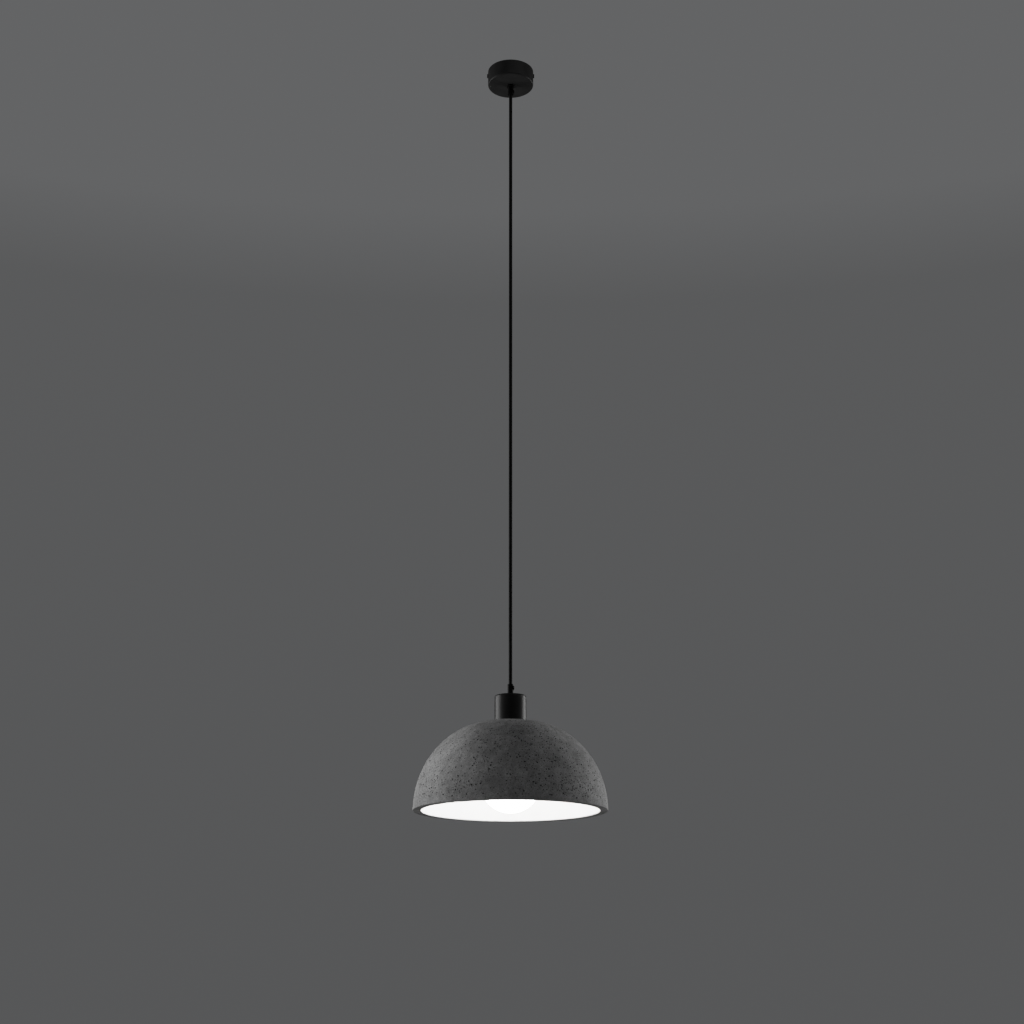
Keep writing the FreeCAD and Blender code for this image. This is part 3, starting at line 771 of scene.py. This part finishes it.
def add_shade(concrete, coat):
    """The shade as one closed mesh: concrete outside and round the rim, coated inside."""
    vertices, faces, dark = outer_skin()
    outline, concrete_rows = inner_outline()
    first = len(vertices)
    for row, (radius, height) in enumerate(outline):
        for n in range(RIM_COLUMNS):
            angle = 2 * math.pi * n / RIM_COLUMNS
            vertices.append((radius * math.cos(angle), radius * math.sin(angle), height))
    # No painted shade on the rim and the inside.
    dark += [0.0] * (len(outline) * RIM_COLUMNS)
    starts = [0] + [first + row * RIM_COLUMNS for row in range(len(outline))] + [RIM_COLUMNS]
    coated = []
    for row, (here, ahead) in enumerate(zip(starts, starts[1:])):
        for n in range(RIM_COLUMNS):
            beside = (n + 1) % RIM_COLUMNS
            if concrete_rows <= row < len(outline):
                coated.append(len(faces))
            faces.append((here + n, here + beside, ahead + beside, ahead + n))
    mesh = bpy.data.meshes.new("concrete_shade")
    mesh.from_pydata(vertices, [], faces)
    kinds = np.zeros(len(faces), np.int32)
    kinds[coated] = 1
    mesh.materials.append(concrete)
    mesh.materials.append(coat)
    mesh.polygons.foreach_set("material_index", kinds)
    # The pore attribute carries the pores' painted shade to the concrete's colour.
    attribute = mesh.attributes.new("pore", "FLOAT", "POINT")
    attribute.data.foreach_set("value", np.array(dark, np.float32))
    shape = bmesh.new()
    shape.from_mesh(mesh)
    bmesh.ops.recalc_face_normals(shape, faces=shape.faces)
    shape.to_mesh(mesh)
    shape.free()
    smooth(mesh, 50)
    piece = link("concrete_shade", mesh)
    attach(piece, "lamp")
    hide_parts("shade")


# The lampholder's skirt and the bulb

def add_holder(finish):
    """The lampholder's lower housing, with a real helical thread for the shade ring."""
    crest, root = 20 * MM, 19.2 * MM
    bore, mouth, mouth_top = 16 * MM, 15.5 * MM, HOLDER_LOW + 2 * MM
    plain = 1.5 * MM
    turn_rows = 8
    rows = round((HOLDER_TOP - HOLDER_LOW - 2 * plain) / RING_PITCH * turn_rows)
    wall = [(root, HOLDER_TOP - plain - n * RING_PITCH / turn_rows) for n in range(rows + 1)]
    outline = [(bore, HOLDER_TOP), (root, HOLDER_TOP), *wall, (root, HOLDER_LOW)]
    outline += [(mouth, HOLDER_LOW), (mouth, mouth_top), (bore, mouth_top)]
    thread = helix(root, crest - root, wall[-3][1], wall[2][1], RING_PITCH, 1)
    holder = turned("lampholder_skirt", outline, 96, thread)
    place(holder, "lamp", "black_nylon", finish, "lampholder_shell")


def add_screw_cap(finish):
    """The bulb's thin screw cap, with a rolled E27 helix."""
    crest, root, wall, end = 13.05 * MM, 12.2 * MM, 0.4 * MM, 9 * MM
    shoulder = CAP_TOP - 1 * MM
    rows = 48
    side = [(root, shoulder + (CAP_LOW - shoulder) * n / rows) for n in range(rows + 1)]
    inside = [(r - wall, z) for r, z in reversed(side)]
    outline = [(end, CAP_TOP), *side, *inside, (end, CAP_TOP - wall)]
    thread = helix(root - wall, crest - root, side[-4][1], side[4][1], E27_PITCH, -1)
    cap = turned("bulb_screw_cap", outline, 96, thread)
    place(cap, "bulb", "cap_metal", finish, "bulb_cap")


def add_collar(finish):
    """The white ring between the bulb's cap and its globe."""
    bore, inside, neck = 11 * MM, 12 * MM, 16.1 * MM
    floor = COLLAR_TOP - 2 * MM
    outline = soften([
        (bore, COLLAR_TOP),
        (13 * MM, COLLAR_TOP, 0.3 * MM),
        (14.2 * MM, COLLAR_TOP - 3 * MM, 1.5 * MM),
        (neck, COLLAR_LOW + 1 * MM, 0.8 * MM),
        (neck, COLLAR_LOW, 0.2 * MM),
        (inside, COLLAR_LOW),
        (inside, floor),
        (bore, floor),
    ], 4)
    collar = turned("bulb_collar_ring", outline, 96)
    place(collar, "bulb", "bulb_collar", finish, "bulb_housing")


def globe_side(inset):
    """The globe's section from its lowest point to its neck, as (radius, height) points."""
    middle = GLOBE_LOW + GLOBE_RADIUS
    radius = GLOBE_RADIUS - inset
    shoulder = 20 * MM - inset
    round_steps, neck_steps = 60, 10
    last = math.asin(shoulder / radius)
    points = []
    for n in range(round_steps + 1):
        turn = (math.pi - last) * n / round_steps
        points.append((radius * math.sin(turn), middle - radius * math.cos(turn)))
    bend = Vector((15.6 * MM - inset, COLLAR_LOW - 4 * MM))
    neck = Vector((15.5 * MM - inset, COLLAR_LOW))
    return points + bent(Vector(points[-1]), bend, neck, neck_steps)


def add_globe(finish):
    outline = globe_side(0) + globe_side(GLOBE_WALL)[::-1]
    globe = turned("bulb_glass", outline, 128)
    place(globe, "bulb", "opal_glass", finish, "bulb_globe")


# Stage

def add_floor():
    """A plain pale floor well below the lamp."""
    mesh = bpy.data.meshes.new("floor")
    half, height = 30.0, RIM_Z - 1.5
    corners = [(-half, -half), (half, -half), (half, half), (-half, half)]
    mesh.from_pydata([(x, y, height) for x, y in corners], [], [(0, 1, 2, 3)])
    floor = link("floor", mesh)
    shader = Shader("floor_paint", {"Roughness": 0.8})
    shader.feed("Base Color", shader.ramp(shader.noise(3.0), [(0.3, 0.52), (0.7, 0.56)]))
    mesh.materials.append(shader.material)


def add_softbox(name, spot, aim, size, power):
    data = bpy.data.lights.new(name, "AREA")
    data.shape = "RECTANGLE"
    data.size, data.size_y = size
    data.energy = power
    lamp = bpy.data.objects.new(name, data)
    lamp.location = spot
    lamp.rotation_euler = (Vector(aim) - Vector(spot)).to_track_quat("-Z", "Y").to_euler()
    lamp.visible_camera = False
    bpy.context.scene.collection.objects.link(lamp)


def add_lights():
    """A softbox on each side, a little behind the lamp, and a dim one in front of it. The last,
    near and high, lights the canopy.

    Azimuth in degrees from the camera's side, distance and height above the rim in metres,
    the height it points at, its size in metres and its power in watts."""
    shade_z = RIM_Z + 0.1
    for name, azimuth, distance, height, aim, size, power in (
        ("left_softbox", -103, 2.2, 0.50, shade_z, (1.8, 1.05), 50),
        ("right_softbox", 117, 2.2, 0.50, shade_z, (1.4, 1.05), 33),
        ("front_softbox", 42, 2.0, 1.45, shade_z, (1.3, 1.3), 2.6),
        ("ceiling_softbox", 26, 1.1, 1.95, CANOPY_LOW, (1.8, 0.7), 2.6),
    ):
        turn = math.radians(azimuth)
        spot = (distance * math.sin(turn), -distance * math.cos(turn), RIM_Z + height)
        add_softbox(name, spot, (0, 0, aim), size, power)


def bluish(stops):
    """Ramp stops of (position, grey) with a trace of blue."""
    return [(position, (grey * 0.99, grey, grey * 1.02)) for position, grey in stops]


def add_world():
    """A plain grey backdrop, a little lighter near the ceiling, and the room's own dim light.

    That light is strongest at the sides, and darker in front, above and behind."""
    world = bpy.data.worlds.new("studio")
    world.use_nodes = True
    tree = world.node_tree
    nodes, links = tree.nodes, tree.links
    way = nodes.new("ShaderNodeTexCoord").outputs["Generated"]
    split = nodes.new("ShaderNodeSeparateXYZ")
    links.new(way, split.inputs["Vector"])
    backdrop = nodes["Background"]
    wall = bluish(((0.08, 0.101), (0.42, 0.107), (0.47, 0.130)))
    links.new(colour_ramp(tree, split.outputs["Z"], wall), backdrop.inputs["Color"])
    lean = nodes.new("ShaderNodeVectorMath")
    lean.operation = "DOT_PRODUCT"
    lean.inputs[1].default_value = (0, 0.8, 0.6)  # back and up
    links.new(way, lean.inputs[0])
    spread = nodes.new("ShaderNodeMapRange")
    spread.inputs["From Min"].default_value = -1.0
    links.new(lean.outputs["Value"], spread.inputs["Value"])
    glow = bluish((
        (0.0, 0.006), (0.22, 0.02), (0.34, ROOM_FRONT), (0.66, ROOM_BACK), (0.80, 0.02),
    ))
    room = nodes.new("ShaderNodeBackground")
    links.new(colour_ramp(tree, spread.outputs["Result"], glow), room.inputs["Color"])
    mix = nodes.new("ShaderNodeMixShader")
    rays = nodes.new("ShaderNodeLightPath")
    links.new(rays.outputs["Is Camera Ray"], mix.inputs["Fac"])
    links.new(room.outputs["Background"], mix.inputs[1])
    links.new(backdrop.outputs["Background"], mix.inputs[2])
    links.new(mix.outputs["Shader"], nodes["World Output"].inputs["Surface"])
    bpy.context.scene.world = world


finishes = make_finishes()
add_camera()
add_cord(finishes["cord_sheath"])
dress_cad_nodes(finishes)
add_canopy(finishes["black_steel"])
add_grip("upper_grip", "canopy", UPPER_LIP, UPPER_STUD_END, 5 * MM, 4.2 * MM,
         finishes["black_nylon"], "upper_cord_grip", "upper_clamp_screw")
add_grip("lower_grip", "lamp", LOWER_LIP, LOWER_STUD_END, 4.5 * MM, 3.6 * MM,
         finishes["black_nylon"], "lower_cord_grip", "lower_clamp_screw")
add_cup(finishes["black_steel"])
add_shade(finishes["concrete"], finishes["white_coat"])
add_holder(finishes["black_nylon"])
add_screw_cap(finishes["cap_metal"])
add_collar(finishes["bulb_collar"])
add_globe(finishes["opal_glass"])
add_floor()
add_lights()
add_world()
